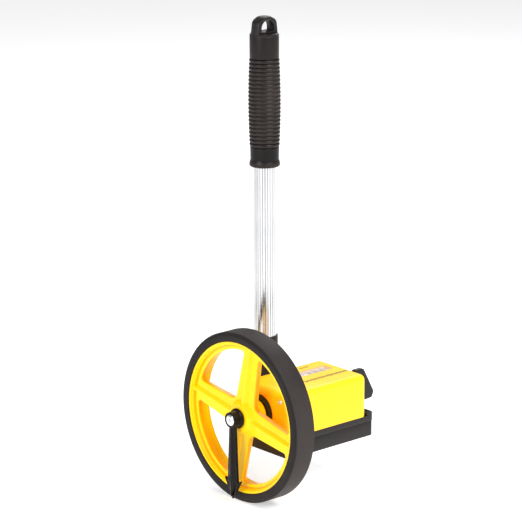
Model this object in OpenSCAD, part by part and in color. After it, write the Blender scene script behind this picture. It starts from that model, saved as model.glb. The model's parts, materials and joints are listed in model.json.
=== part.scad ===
// Telescopic measuring wheel: half a metre of travel for each turn of the wheel.
// Origin at the wheel's centre. The axle runs along Y and the counter housing is on the
// +Y side of the wheel. +X points to the person who reads the counter, +Z is up.

/* [Wheel] */
// Outside radius of the tyre
wheel_r = 79.6; // [70:0.1:90]
// Width of the tyre across the tread
tyre_w = 21.3; // [16:0.1:26]
// Thickness of the rubber from rim to tread
tyre_t = 8.9; // [6:0.1:11]
// Thickness of the rim's barrel under the tyre
barrel_t = 3.2; // [2.4:0.1:4]
// Width of each of the four spokes at the rim
spoke_w = 18.5; // [14:0.5:22]
// Width of each spoke at the hub
spoke_root_w = 24; // [18:0.5:26]
// Turn of the spokes away from upright at rest, in degrees
spoke_turn = 11; // [0:1:44]
// Radius of the hub's boss
hub_r = 16; // [13:0.5:18]
// Radius of the steel axle
axle_r = 3; // [2.5:0.1:3.6]

/* [Pointer] */
// Distance from the axle to the pointer's tip
pointer_len = 76.4; // [60:0.1:78]
// Width of the pointer's arrow head
pointer_head_w = 24; // [18:0.5:28]
// Width of the pointer's arm at the hub
pointer_arm_w = 11; // [8:0.5:13]

/* [Housing] */
// Length of the yellow cover, along the axle
cover_len = 98.5; // [93:0.5:120]
// Distance from the axle to the cover's forward face
cover_fwd = 27; // [26:0.5:32]
// Distance from the axle to the cover's rear face, on the reader's side
cover_rear = 38.6; // [37:0.5:46]
// Height of the cover's top above the axle
cover_top = 24.5; // [24:0.5:32]
// Depth of the cover's bottom edge below the axle
cover_drop = 16.3; // [16:0.1:20]
// Radius of the cover's top edges
cover_round = 6; // [4:0.5:8]
// Wall thickness of the mouldings
wall = 2.2; // [1.8:0.1:2.6]

/* [Base] */
// Depth of the base's flat bottom below the axle
base_drop = 36.5; // [34:0.5:44]
// Distance by which the base stands past the cover's right end
base_past = 9.5; // [6:0.5:12]
// Radius of the base's upright corners
base_round = 5; // [3:0.5:8]

/* [Handle] */
// Outside radius of the fluted outer tube
tube_r = 10.5; // [10:0.1:12]
// Gap between the cover's forward face and the tube's socket
tube_gap = 0.7; // [0.5:0.1:5]
// Distance of the tube's axis from the wheel's centre plane
tube_side = 56.7; // [50:0.1:64]
// Height of the outer tube's top above the axle
tube_top = 218.2; // [200:0.1:240]
// Travel of each sliding section
section_travel = 185; // [120:1:190]
// Number of flutes round the outer tube
flutes = 27; // [18:1:36]

/* [Grip] */
// Radius of the grip at its smooth ends
grip_r = 13.2; // [12.6:0.1:15]
// Length of the grip with its hang loop
grip_len = 138.1; // [125:0.1:150]
// Number of ribs round the grip
ribs = 22; // [12:1:24]
// Distance from one rib to the next
rib_pitch = 3.71; // [3:0.01:3.9]

/* [Counter] */
// Gear module of the drive to the counter
gear_module = 0.5; // [0.45:0.01:0.52]
// Teeth on the axle's drive gear
drive_teeth = 17; // [16:1:18]
// Teeth on the counter's input gear, twice the drive gear's for one metre a turn
counter_teeth = 34; // [32:1:34]
// Radius of the number drums
drum_r = 7.6; // [7:0.1:7.8]
// Distance from one number drum to the next
drum_pitch = 8; // [7:0.1:8.4]

/* [Fits] */
// Radial clearance of a shaft that turns in its bore
running_gap = 0.06; // [0.02:0.01:0.1]
// Radial clearance of the sliding tube guides
slide_gap = 0.1; // [0.05:0.01:0.15]
// Clearance between pieces that move past each other without touching
free_gap = 0.4; // [0.3:0.05:0.6]

/* [Hidden] */
$fn = 64;
eps = 0.01;

// Wheel
rim_r = wheel_r - tyre_t;
barrel_in = rim_r - barrel_t;
lip_y = -tyre_w / 2;
spoke_front = -6;
spoke_back = 0;
spoke_taper = atan((spoke_root_w - spoke_w) / 2 / (barrel_in - hub_r));
flange_in = barrel_in - 4.5;
hub_front = lip_y - 0.8;
hub_back = tyre_w / 2 + 0.8;
rib_w = 7;
rib_h = 3.2;
rib_crest_w = 1.8;
window_round = 3;
web_round = 8;

// Pointer and the screw that keeps it on the axle
pointer_back = hub_front - 0.6;
pointer_plate_y = -18.8;
pointer_front = -21.4;
pointer_boss_front_r = 7.3;
pointer_boss_back_r = 9.4;
pointer_t = 2.6;
head_r = 5.3;
head_seat = pointer_front + 1.1;
dome_h = 1.9;
screw_r = 1.5;

// Housing
cover_left = tyre_w / 2 + 4.35;
cover_right = cover_left + cover_len;
flange_front = cover_left - 2.6;
flange_r = 17.5;
sleeve_r = 9;
base_right = cover_right + base_past;
seam_z = -22.5;
lip_top = -cover_drop + 2.1;
plate_t = 2.4;
pan_inset = 0.4;

// Counter gear train, drawn in the XZ plane
gear_reach = gear_module * (drive_teeth + counter_teeth) / 2;
counter_x = -3;
counter_axis = [counter_x, sqrt(gear_reach * gear_reach - counter_x * counter_x)];
counter_dir = atan2(counter_axis.y, counter_axis.x);
gear_y = [cover_left + 11, cover_left + 16];
gear_seat_r = gear_module * drive_teeth / 2 - 1.25;
frame_t = 1.5;
frame_left = cover_left + 19;
drums = 5;
drum_w = 5.2;
drum_first = cover_right - 17.5;
frame_right = drum_first + drum_pitch / 2 + 3;
shaft_r = 2;
carry_gear_teeth = 20;
carry_pinion_teeth = 8;
carry_shaft_r = 0.6;
carry_reach = drum_r + carry_shaft_r + 0.3;
carry_module = 2 * (carry_reach - 0.1) / (carry_gear_teeth + carry_pinion_teeth);
carry_dir = -100;
carry_axis = counter_axis + carry_reach * [cos(carry_dir), sin(carry_dir)];
reset_axis = [13, 3];
reset_r = 1.6;
window_x = [counter_x - 5.5, counter_x + 5.5];
window_y = [drum_first - drums * drum_pitch + 2.6, drum_first + drum_pitch - 2.6];
pane_lap = 1.2;
pane_t = 1.2;
mask_t = 1;
mask_z = cover_top - wall - mask_t - 0.05;

// Handle
tube_wall = 0.8;
slide_step = 1.5;
ring_len = 5;
bush_len = 6;
column_r = tube_r + 1.3;
tube_pos = [-cover_fwd - tube_gap - column_r, tube_side];
column_bore = tube_r + 0.05;
column_top = 57;
column_foot = -base_drop + 2.5;
tube_foot = column_foot + 2.5;
lug_r = column_r + 2.4;
function section_r(k) = tube_r - 0.1 - slide_step * (k - 1);
function section_in(k) = (k == 1 ? tube_r : section_r(k)) - tube_wall;
function section_top(k) = tube_top + (k - 1) * 1;
function section_foot(k) = section_top(k - 1) - ring_len - 0.5 - section_travel - bush_len;

// Grip
grip_foot = tube_top + free_gap;
grip_end = grip_foot + grip_len;
cap_z = grip_end - 17.7;
rib_z = grip_foot + 18.4;
core_r = section_r(2) + 0.6;
core_top = cap_z - 8;
loop_t = 9.7;

// Screws
cover_screw_r = 1.4;
cover_screw_depth = 4.4;
post_d = cover_screw_depth + 0.2;
cover_screw_spots = [
    [28, 16, 0], [-19, -6, 0], [28, -6, 1], [-19, -6, 1]
];
base_screw_spots = [
    for (x = [-19, 31], y = [cover_left + 8, base_right - 8]) [x, y]
];
frame_screw_spots = [
    for (x = [-14, 12], y = [frame_left + 8, frame_right - 6]) [x, y]
];

// ---- shared shapes ----

// Extrudes a shape drawn with x to the right (X) and y up (Z) from y0 to y1 along Y.
module along_y(y0, y1) {
    translate([0, y1, 0]) rotate([90, 0, 0]) linear_extrude(y1 - y0) children();
}

module rod_y(r, y0, y1, at = [0, 0]) {
    along_y(y0, y1) translate(at) circle(r);
}

module tube_z(r_out, r_in, z0, z1) {
    translate([tube_pos.x, tube_pos.y, z0]) difference() {
        cylinder(r = r_out, h = z1 - z0);
        translate([0, 0, -1]) cylinder(r = r_in, h = z1 - z0 + 2);
    }
}

function arc(centre, r, a0, a1, steps) =
    [for (i = [0 : steps]) centre + r * [cos(a0 + (a1 - a0) * i / steps),
                                         sin(a0 + (a1 - a0) * i / steps)]];

// Outline of a rectangle from low to high with round corners.
function round_box(low, high, r) = concat(
    arc([high.x - r, high.y - r], r, 0, 90, 8),
    arc([low.x + r, high.y - r], r, 90, 180, 8),
    arc([low.x + r, low.y + r], r, 180, 270, 8),
    arc([high.x - r, low.y + r], r, 270, 360, 8));

function roll(base, r) = tan(acos(base / r)) * 180 / PI - acos(base / r);

// Outline of an involute gear with 20 degree flanks; thin is the tooth's share of the pitch.
module gear_outline(teeth, m, thin = 0.46, tip = 0.9) {
    pitch = m * teeth / 2;
    base = pitch * cos(20);
    root = pitch - 1.2 * m;
    top = pitch + tip * m;
    function half(r) = thin * 180 / teeth + roll(base, pitch) - roll(base, max(r, base));
    radii = [root, max(base, root + eps), pitch, top];
    polygon([for (i = [0 : teeth - 1]) for (side = [-1, 1]) for (j = [0 : 3])
        let (r = radii[side < 0 ? j : 3 - j], a = i * 360 / teeth + side * half(r))
            r * [cos(a), sin(a)]]);
}

// Pan head screw along -Z from its seat at z = 0, with a cross recess.
module pan_screw(r, head, length) {
    head_h = head * 0.55;
    difference() {
        union() {
            translate([0, 0, -length]) cylinder(r = r, h = length + eps);
            cylinder(r1 = head, r2 = head * 0.72, h = head_h);
        }
        for (a = [0, 90]) rotate(a)
            translate([-head * 0.55, -head * 0.11, head_h * 0.45])
                cube([head * 1.1, head * 0.22, head_h]);
    }
}

// ---- wheel ----

module tyre() {
    half_w = tyre_w / 2;
    color([0.24, 0.22, 0.21]) rotate([90, 0, 0]) rotate_extrude($fn = 180)
        polygon([
            [rim_r, -half_w], [rim_r + 0.6, -half_w - 0.9], [wheel_r - 2.2, -half_w - 0.6],
            [wheel_r - 1.2, -half_w - 0.1], [wheel_r, -half_w + 0.7],
            [wheel_r, half_w - 0.7], [wheel_r - 1.2, half_w + 0.1],
            [wheel_r - 2.2, half_w + 0.6], [rim_r + 0.6, half_w + 0.9], [rim_r, half_w]
        ]);
}

// One of the four openings between spokes, in the quadrant between +X and +Z. Its long sides
// lie along spokes that widen by spoke_taper towards the hub.
module spoke_window() {
    edge = (spoke_w / 2 + barrel_in * tan(spoke_taper)) * cos(spoke_taper);
    rise = edge + window_round;
    reach = sqrt(pow(flange_in - window_round, 2) - rise * rise);
    a = atan2(rise, reach);
    function spun(points, angle) =
        [for (p = points) [p.x * cos(angle) - p.y * sin(angle), p.x * sin(angle) + p.y * cos(angle)]];
    root = edge / (cos(spoke_taper) + sin(spoke_taper));
    inner = root + web_round / sin(45 + spoke_taper) / sqrt(2);
    polygon(concat(
        spun(arc([reach, rise], window_round, -90, a, 6), -spoke_taper),
        arc([0, 0], flange_in, a - spoke_taper + 2, 88 - a + spoke_taper, 16),
        spun(arc([rise, reach], window_round, 90 - a, 180, 6), spoke_taper),
        arc([inner, inner], web_round, 180 + spoke_taper, 270 - spoke_taper, 8)));
}

module wheel_rim() {
    color([0.98, 0.82, 0.04]) difference() {
        union() {
            rotate([90, 0, 0]) rotate_extrude($fn = 180) polygon([
                [barrel_in - 0.6, -tyre_w / 2], [rim_r, -tyre_w / 2], [rim_r, -lip_y],
                [barrel_in + 1, -lip_y], [barrel_in, -lip_y - 1.2], [barrel_in - 0.6, -spoke_front],
                [barrel_in - 0.6, -spoke_back]
            ]);
            along_y(spoke_front, spoke_back) rotate(-spoke_turn) difference() {
                circle(barrel_in + 0.2, $fn = 180);
                for (i = [0 : 3]) rotate(90 * i) spoke_window();
            }
            for (i = [0 : 3]) rotate([0, spoke_turn - 90 * i, 0])
                translate([0, spoke_front, hub_r - 2]) spoke_rib(barrel_in - hub_r + 1.5);
            rotate([90, 0, 0]) rotate_extrude() polygon([
                [0, -hub_back], [hub_r - 3, -hub_back], [hub_r, -spoke_back + 1],
                [hub_r + 3, -spoke_back - 1], [hub_r + 3, -spoke_front],
                [hub_r, -spoke_front + 1.6], [hub_r - 3.5, -hub_front], [0, -hub_front]
            ]);
        }
        rod_y(axle_r, hub_front - 1, hub_back + 1);
    }
}

// Roof-shaped rib that stands forward of a spoke; it runs along +Z.
module spoke_rib(length) {
    linear_extrude(length) polygon([
        [-rib_w / 2, 0.5], [-rib_w / 2, 0], [-rib_crest_w / 2, -rib_h],
        [rib_crest_w / 2, -rib_h], [rib_w / 2, 0], [rib_w / 2, 0.5]
    ]);
}

module axle() {
    color("silver") difference() {
        union() {
            rod_y(axle_r, head_seat, gear_y[0]);
            rod_y(gear_seat_r, gear_y[0] - eps, frame_left + frame_t + 4);
        }
        rod_y(screw_r, head_seat - 1, head_seat + 8);
    }
}

module hub_screw() {
    color("white") {
        rod_y(screw_r, head_seat - eps, head_seat + 7);
        difference() {
            rotate([90, 0, 0]) rotate_extrude() polygon(concat(
                [[0, -head_seat]],
                [for (a = [0 : 15 : 90]) [head_r * cos(a), -head_seat + 0.6 + (dome_h - 0.6) * sin(a)]],
                [[0, -head_seat + 0.6]]));
            for (a = [0, 90]) rotate([0, a + 20, 0])
                translate([-2.4, head_seat - dome_h - 1, -0.45]) cube([4.8, 1.8, 0.9]);
        }
    }
}

module axle_spacer() {
    color("silver") difference() {
        rod_y(axle_r + 2.5, hub_back, flange_front - free_gap);
        rod_y(axle_r, hub_back - 1, flange_front);
    }
}

module drive_gear() {
    color("ivory") difference() {
        along_y(gear_y[0], gear_y[1]) rotate(counter_dir) gear_outline(drive_teeth, gear_module);
        rod_y(gear_seat_r, gear_y[0] - 1, gear_y[1] + 1);
    }
}

module axle_clip() {
    y0 = frame_left + frame_t + free_gap;
    color("dimgray") difference() {
        rod_y(gear_seat_r + 2, y0, y0 + 0.8);
        rod_y(gear_seat_r, y0 - 1, y0 + 2);
        translate([-1.2, y0 - 1, -gear_seat_r - 3]) cube([2.4, 3, gear_seat_r + 3]);
    }
}

// ---- pointer ----

module pointer() {
    arm_top = -4;
    head_z = -56;
    neck_z = head_z - 3.5;
    arm = pointer_arm_w / 2;
    foot = arm + 1.4;
    outline = [
        [arm, arm_top], [-arm, arm_top], [-foot, neck_z], [-pointer_head_w / 2, head_z],
        [0, -pointer_len], [pointer_head_w / 2, head_z], [foot, neck_z]
    ];
    color([0.09, 0.08, 0.08]) difference() {
        union() {
            rotate([90, 0, 0]) rotate_extrude() polygon([
                [0, -pointer_back], [pointer_boss_back_r, -pointer_back],
                [pointer_boss_back_r, -pointer_back + 1.2],
                [pointer_boss_front_r + 0.4, -pointer_plate_y],
                [pointer_boss_front_r, -pointer_front], [0, -pointer_front]
            ]);
            along_y(pointer_plate_y, pointer_plate_y + pointer_t) polygon(outline);
            pointer_ridge(arm_top, -pointer_len + 2, 1.7);
        }
        rod_y(axle_r + running_gap, pointer_front - 1, pointer_back + 1);
        rod_y(head_r + free_gap, pointer_front - 1, head_seat + free_gap);
    }
}

// Low roof down the middle of the pointer, from z_top to its point at z_tip.
module pointer_ridge(z_top, z_tip, rise) {
    half = pointer_arm_w / 2 - 0.8;
    back = pointer_plate_y + 0.4;
    crest = pointer_plate_y - rise;
    polyhedron(
        points = [
            [-half, back, z_top], [half, back, z_top], [0, crest, z_top],
            [-half, back, z_tip + 14], [half, back, z_tip + 14], [0, crest, z_tip + 14],
            [0, back, z_tip]
        ],
        faces = [
            [0, 1, 2], [0, 3, 6, 4, 1], [0, 2, 5, 3], [1, 4, 5, 2], [3, 5, 6], [4, 6, 5]
        ]);
}

// ---- housing ----

// Outside of the cover shrunk by inset; drop lowers its open bottom.
module cover_shape(inset, drop) {
    r = cover_round - inset;
    foot_r = max(4 - inset, 1);
    low = [-cover_fwd + inset, cover_left + inset];
    high = [cover_rear - inset, cover_right - inset];
    hull() {
        for (x = [low.x + r, high.x - r], y = [low.y + r, high.y - r])
            translate([x, y, cover_top - inset - r]) sphere(r, $fn = 32);
        for (x = [low.x + foot_r, high.x - foot_r], y = [low.y + foot_r, high.y - foot_r])
            translate([x, y, -cover_drop - drop]) cylinder(r = foot_r, h = 2, $fn = 32);
    }
}

module housing_cover() {
    color([0.99, 0.93, 0.16]) difference() {
        cover_shape(0, 0);
        cover_shape(wall, 3);
        // counter window with a rebate for its pane
        translate([window_x[0], window_y[0], cover_top - wall - 1])
            cube([window_x[1] - window_x[0], window_y[1] - window_y[0], wall + 2]);
        translate([window_x[0] - pane_lap, window_y[0] - pane_lap, cover_top - pane_t])
            cube([window_x[1] - window_x[0] + 2 * pane_lap,
                  window_y[1] - window_y[0] + 2 * pane_lap, pane_t + 1]);
        rod_y(sleeve_r + 0.2, cover_left - 1, cover_left + wall + 1);
        rod_y(reset_r + 2.2, cover_right - wall - 1, cover_right + 1, reset_axis);
        for (s = cover_screw_spots)
            translate([s.x, s.z == 0 ? cover_left - 1 : cover_right - wall - 1, s.y])
                rotate([-90, 0, 0]) cylinder(r = cover_screw_r + 0.2, h = wall + 2);
    }
}

module counter_window() {
    color([0.9, 0.95, 1, 0.4])
        translate([window_x[0] - pane_lap + 0.1, window_y[0] - pane_lap + 0.1, cover_top - pane_t])
            cube([window_x[1] - window_x[0] + 2 * pane_lap - 0.2,
                  window_y[1] - window_y[0] + 2 * pane_lap - 0.2, pane_t - 0.2]);
}

// Plate under the window with one slot for each number drum.
module window_mask() {
    color("white") difference() {
        translate([window_x[0] - 3, window_y[0] - 3, mask_z])
            cube([window_x[1] - window_x[0] + 6, window_y[1] - window_y[0] + 6, mask_t]);
        for (i = [1 : drums])
            translate([counter_x - 4.2, drum_y(i) - drum_w / 2, mask_z - 1])
                cube([8.4, drum_w, mask_t + 2]);
    }
}

module cover_screws() {
    color("silver") for (s = cover_screw_spots) {
        right = s.z == 1;
        translate([s.x, right ? cover_right : cover_left, s.y])
            rotate([right ? -90 : 90, 0, 0]) pan_screw(cover_screw_r, 2.6, wall + cover_screw_depth);
    }
}

module bearing_flange() {
    color([0.1, 0.09, 0.09]) difference() {
        rotate([90, 0, 0]) rotate_extrude() polygon([
            [0, -cover_left - wall - 5], [sleeve_r, -cover_left - wall - 5],
            [sleeve_r, -cover_left], [flange_r, -cover_left], [flange_r, -flange_front - 1],
            [flange_r - 1, -flange_front], [0, -flange_front]
        ]);
        rod_y(axle_r + 2.5, flange_front - 1, cover_left + wall + 6);
    }
}

module axle_bush() {
    color("tan") difference() {
        rod_y(axle_r + 2.5, flange_front, cover_left + wall + 5);
        rod_y(axle_r + running_gap, flange_front - 1, cover_left + wall + 6);
    }
}

// Plan of the base: a rounded rectangle with a lug round the tube socket.
module base_plan(inset) {
    polygon(round_box([-cover_fwd + inset, cover_left + inset],
                      [cover_rear - inset, base_right - inset], base_round - inset));
    translate(tube_pos) circle(lug_r - inset);
    translate([tube_pos.x, tube_pos.y - lug_r + 1 + inset])
        square([column_r + tube_gap + 4, 2 * (lug_r - 1 - inset)]);
}

// Plan of the space inside the cover, shrunk by gap.
module inside_cover(gap, r) {
    inset = wall + gap;
    polygon(round_box([-cover_fwd + inset, cover_left + inset],
                      [cover_rear - inset, cover_right - inset], r));
}

// Posts inside the cover that its screws bite into.
module cover_posts() {
    for (s = cover_screw_spots)
        translate([s.x - 3.5, s.z == 0 ? cover_left + wall + 0.2 : cover_right - wall - 0.2 - post_d,
                   -cover_drop - eps])
            cube([7, post_d, s.y + cover_drop + 3.5]);
}

module chassis() {
    color([0.13, 0.12, 0.12]) difference() {
        union() {
            difference() {
                translate([0, 0, seam_z]) linear_extrude(-cover_drop - seam_z) base_plan(0);
                translate([-cover_fwd + wall, cover_left + wall, seam_z - 1])
                    cube([cover_fwd + cover_rear - 2 * wall,
                          base_right - cover_left - 2 * wall,
                          -cover_drop - plate_t - seam_z + 1]);
            }
            // raised edge past the cover's right end
            translate([0, 0, seam_z]) linear_extrude(lip_top - seam_z) intersection() {
                base_plan(0);
                translate([-cover_fwd - 1, cover_right + 0.3])
                    square([cover_fwd + cover_rear + 2, base_past + 2]);
            }
            // collar round the tube socket
            translate([0, 0, seam_z]) linear_extrude(lip_top - seam_z) intersection() {
                base_plan(0);
                translate([-100, 0]) square([100 - cover_fwd - 0.3, 200]);
            }
            // locating rim inside the cover
            translate([0, 0, -cover_drop - eps]) linear_extrude(3) difference() {
                inside_cover(0.2, 2.6);
                inside_cover(1.8, 1);
            }
            cover_posts();
            for (p = base_screw_spots)
                translate([p.x, p.y, seam_z]) cylinder(r = 4.2, h = -cover_drop - 1 - seam_z);
        }
        translate([tube_pos.x, tube_pos.y, seam_z - 1])
            cylinder(r = column_r + 0.05, h = lip_top - seam_z + 2);
        for (s = cover_screw_spots)
            translate([s.x, s.z == 0 ? cover_left + wall - 1 : cover_right - wall + 1, s.y])
                rotate([s.z == 0 ? -90 : 90, 0, 0]) cylinder(r = cover_screw_r, h = post_d + 2);
        for (p = base_screw_spots)
            translate([p.x, p.y, seam_z - 1]) cylinder(r = screw_r, h = 5.6);
        for (p = frame_screw_spots)
            translate([p.x, p.y, -cover_drop - plate_t - 1]) cylinder(r = screw_r, h = plate_t + 2);
    }
}

module base_pan() {
    pan_top = seam_z;
    color([0.15, 0.14, 0.14]) difference() {
        union() {
            difference() {
                translate([0, 0, -base_drop]) linear_extrude(pan_top + base_drop)
                    base_plan(pan_inset);
                translate([-cover_fwd + wall + pan_inset, cover_left + wall + pan_inset,
                           -base_drop + wall])
                    cube([cover_fwd + cover_rear - 2 * (wall + pan_inset),
                          base_right - cover_left - 2 * (wall + pan_inset), base_drop]);
            }
            for (p = base_screw_spots)
                translate([p.x, p.y, -base_drop]) cylinder(r = 5.2, h = pan_top + base_drop);
            // stiffening ribs across the pan
            for (y = [0.33, 0.66]) translate([-cover_fwd + 1, cover_left + cover_len * y, -base_drop + 1])
                cube([cover_fwd + cover_rear - 2, 1.6, 7]);
        }
        translate([tube_pos.x, tube_pos.y, column_foot])
            cylinder(r = column_r + 0.05, h = base_drop);
        for (p = base_screw_spots) translate([p.x, p.y, -base_drop - 1]) {
            cylinder(r = screw_r + 0.2, h = base_drop);
            cylinder(r = 3.4, h = 4);
        }
    }
}

module base_screws() {
    color("dimgray") for (p = base_screw_spots)
        translate([p.x, p.y, -base_drop + 3]) mirror([0, 0, 1])
            pan_screw(screw_r, 3, -cover_drop - 1.4 + base_drop - 3);
}

// ---- counter ----

function drum_y(i) = drum_first - (i - 1) * drum_pitch;

module frame_plate(y) {
    z0 = -cover_drop;
    difference() {
        along_y(y, y + frame_t) polygon(round_box([-21, z0 - 4], [19, 19.6], 4));
        translate([-30, y - 1, z0 - 10]) cube([60, frame_t + 2, 10]);
        rod_y(shaft_r + running_gap, y - 1, y + frame_t + 1, counter_axis);
        rod_y(carry_shaft_r, y - 1, y + frame_t + 1, carry_axis);
        rod_y(reset_r + running_gap, y - 1, y + frame_t + 1, reset_axis);
        rod_y(gear_seat_r + running_gap, y - 1, y + frame_t + 1);
        rod_y(4, y - 1, y + frame_t + 1, [-13, -6]);
    }
}

module counter_frame() {
    color("lightgray") {
        frame_plate(frame_left);
        frame_plate(frame_right);
        difference() {
            translate([-21, frame_left + frame_t - eps, -cover_drop])
                cube([40, frame_right - frame_left - frame_t + 2 * eps, frame_t]);
            for (p = frame_screw_spots)
                translate([p.x, p.y, -cover_drop - 1]) cylinder(r = screw_r, h = frame_t + 2);
        }
    }
}

module frame_screws() {
    color("silver") for (p = frame_screw_spots)
        translate([p.x, p.y, -cover_drop + frame_t]) pan_screw(screw_r, 2.8, frame_t + plate_t - 0.2);
}

module counter_gear() {
    color("ivory") difference() {
        union() {
            along_y(gear_y[0], gear_y[1]) translate(counter_axis)
                rotate(counter_dir + 180 + 180 / counter_teeth)
                    gear_outline(counter_teeth, gear_module);
            rod_y(shaft_r + 2, gear_y[1] - eps, gear_y[1] + 2, counter_axis);
        }
        rod_y(shaft_r, gear_y[0] - 1, gear_y[1] + 3, counter_axis);
    }
}

module counter_shaft() {
    color("silver") rod_y(shaft_r, gear_y[0], frame_right + frame_t + 1.5, counter_axis);
}

// Number drum i with the 20-tooth gear that the pinion on its right drives.
module number_drum(i) {
    bore = i == 1 ? shaft_r : shaft_r + running_gap;
    y0 = drum_y(i) - drum_w / 2;
    y1 = drum_y(i) + drum_w / 2;
    color(i == 1 ? [0.8, 0.15, 0.12] : [0.96, 0.94, 0.92]) difference() {
        union() {
            rod_y(drum_r, y0, y1, counter_axis);
            if (i > 1)
                along_y(y1 - eps, y1 + 1.8) translate(counter_axis) rotate(carry_dir)
                    gear_outline(carry_gear_teeth, carry_module, 0.42, 0.8);
            rod_y(shaft_r + 1.5, y0 - 0.7, y0 + eps, counter_axis);
        }
        rod_y(bore, y0 - 2, y1 + 3, counter_axis);
        // hollow left side of the drum
        difference() {
            rod_y(drum_r - 1.2, y0 - 1, y0 + 2, counter_axis);
            rod_y(shaft_r + 1.5, y0 - 2, y0 + 3, counter_axis);
        }
    }
}

// Pinion i carries from drum i to drum i + 1.
module carry_pinion(i) {
    y0 = drum_y(i + 1) + drum_w / 2 + 0.1;
    color("ivory") difference() {
        along_y(y0, y0 + 1.6) translate(carry_axis)
            rotate(carry_dir + 180 + 180 / carry_pinion_teeth)
                gear_outline(carry_pinion_teeth, carry_module, 0.38, 0.7);
        rod_y(carry_shaft_r + running_gap, y0 - 1, y0 + 3, carry_axis);
    }
}

module transfer_shaft() {
    color("silver") rod_y(carry_shaft_r, frame_left - 1, frame_right + frame_t + 1, carry_axis);
}

// ---- reset ----

module reset_comb() {
    color("silver") {
        rod_y(reset_r, frame_left - 1, cover_right + 6, reset_axis);
        for (i = [1 : drums])
            along_y(drum_y(i) - 1, drum_y(i) + 1) translate(reset_axis) rotate(150)
                translate([0, -1.2]) square([9, 2.4]);
    }
}

module reset_bush() {
    color("tan") difference() {
        rod_y(reset_r + 2.2, cover_right - wall - 1, cover_right, reset_axis);
        rod_y(reset_r + running_gap, cover_right - wall - 2, cover_right + 1, reset_axis);
    }
}

// Torsion spring round the reset shaft, drawn as closed coils.
module reset_spring() {
    wire = 0.4;
    color("gray") for (i = [0 : 2])
        translate([reset_axis.x, frame_right + frame_t + wire + i * 2 * wire, reset_axis.y])
            rotate([90, 0, 0]) rotate_extrude()
                translate([reset_r + 1.2, 0]) circle(wire, $fn = 24);
}

module reset_lever() {
    y0 = cover_right + free_gap;
    blade = [15.5, 5.5];
    color([0.16, 0.14, 0.14]) difference() {
        union() {
            rod_y(6.5, y0, y0 + 6, reset_axis);
            translate([reset_axis.x, y0 + 0.6, -2]) cube([6, 5.4, 16]);
            hull() {
                lever_corner(blade, y0 + 3.2, 21, 2.4);
                lever_corner(blade, y0 + 9.5, 20.6, 2.8);
                lever_corner(blade, y0 + 21.9, -2.8, 3.4);
                lever_corner(blade, y0 + 13, -5.2, 3);
                lever_corner(blade, y0 + 3.2, 9, 2.4);
            }
        }
        rod_y(reset_r, y0 - 1, y0 + 5.6, reset_axis);
    }
}

module lever_corner(blade, y, z, r) {
    translate([blade[0], y, z]) rotate([0, 90, 0]) cylinder(r = r, h = blade[1], $fn = 32);
}

module lever_screw() {
    color("silver") translate([reset_axis.x, cover_right + free_gap + 6, reset_axis.y])
        rotate([-90, 0, 0]) pan_screw(1, 2.6, 0.3);
}

// ---- handle ----

module tube_socket() {
    color([0.12, 0.11, 0.11]) difference() {
        translate([tube_pos.x, tube_pos.y, 0]) {
            translate([0, 0, column_foot]) cylinder(r = column_r, h = column_top - column_foot);
            translate([0, 0, lip_top]) cylinder(r = column_r + 0.6, h = 5);
        }
        translate([tube_pos.x, tube_pos.y, tube_foot])
            cylinder(r = column_bore, h = column_top - tube_foot + 1);
        socket_screw_hole(screw_r);
    }
}

module socket_screw_hole(r) {
    translate([tube_pos.x - 20, tube_pos.y, 20]) rotate([0, 90, 0]) cylinder(r = r, h = 14);
}

module socket_screw() {
    color("silver") translate([tube_pos.x - column_r, tube_pos.y, 20])
        rotate([0, -90, 0]) pan_screw(screw_r, 3, column_r - tube_r + tube_wall - 0.1);
}

// Outer tube with V flutes all round.
module outer_tube() {
    color([0.86, 0.86, 0.87]) difference() {
        translate([tube_pos.x, tube_pos.y, tube_foot])
            linear_extrude(tube_top - tube_foot) difference() {
                circle(tube_r, $fn = 120);
                circle(tube_r - tube_wall, $fn = 120);
                for (i = [0 : flutes - 1]) rotate(i * 360 / flutes)
                    translate([tube_r + 0.1, 0]) rotate(45) square(0.62, center = true);
            }
        socket_screw_hole(screw_r);
    }
}

module tube_plug() {
    color([0.2, 0.2, 0.2])
        translate([tube_pos.x, tube_pos.y, tube_foot])
            cylinder(r = tube_r - tube_wall, h = 8);
}

// Ring k sits in the mouth of tube k and guides tube k + 1.
module guide_ring(k) {
    color([0.1, 0.1, 0.1])
        tube_z(section_in(k), section_r(k + 1) + slide_gap,
               section_top(k) - ring_len, section_top(k));
}

module slide_tube(k) {
    top = k == 4 ? core_top : section_top(k);
    color([0.82, 0.82, 0.84]) tube_z(section_r(k), section_in(k), section_foot(k), top);
}

// Bush k is fixed on the foot of tube k and slides inside tube k - 1.
module slide_bush(k) {
    color([0.1, 0.1, 0.1])
        tube_z(section_in(k - 1) - slide_gap, section_r(k),
               section_foot(k), section_foot(k) + bush_len);
}

// ---- grip ----

function rib_r(z) = grip_r + 0.6 + 1.1 * sin(180 * (z - rib_z) / (ribs * rib_pitch));

module grip_sleeve() {
    foot = grip_foot;
    color([0.1, 0.09, 0.09]) translate([tube_pos.x, tube_pos.y, 0]) rotate_extrude()
        polygon(concat(
            [[core_r, foot], [14.2, foot], [14.2, foot + 3.8], [grip_r, foot + 5.4],
             [grip_r, rib_z]],
            [for (i = [0 : ribs - 1]) let (z = rib_z + i * rib_pitch) each [
                [rib_r(z) - 0.9, z], [rib_r(z), z + 0.3 * rib_pitch],
                [rib_r(z), z + 0.7 * rib_pitch], [rib_r(z) - 0.9, z + rib_pitch - eps]]],
            [[grip_r + 0.2, rib_z + ribs * rib_pitch + 0.2], [grip_r + 0.2, cap_z],
             [core_r, cap_z]]));
}

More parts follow.
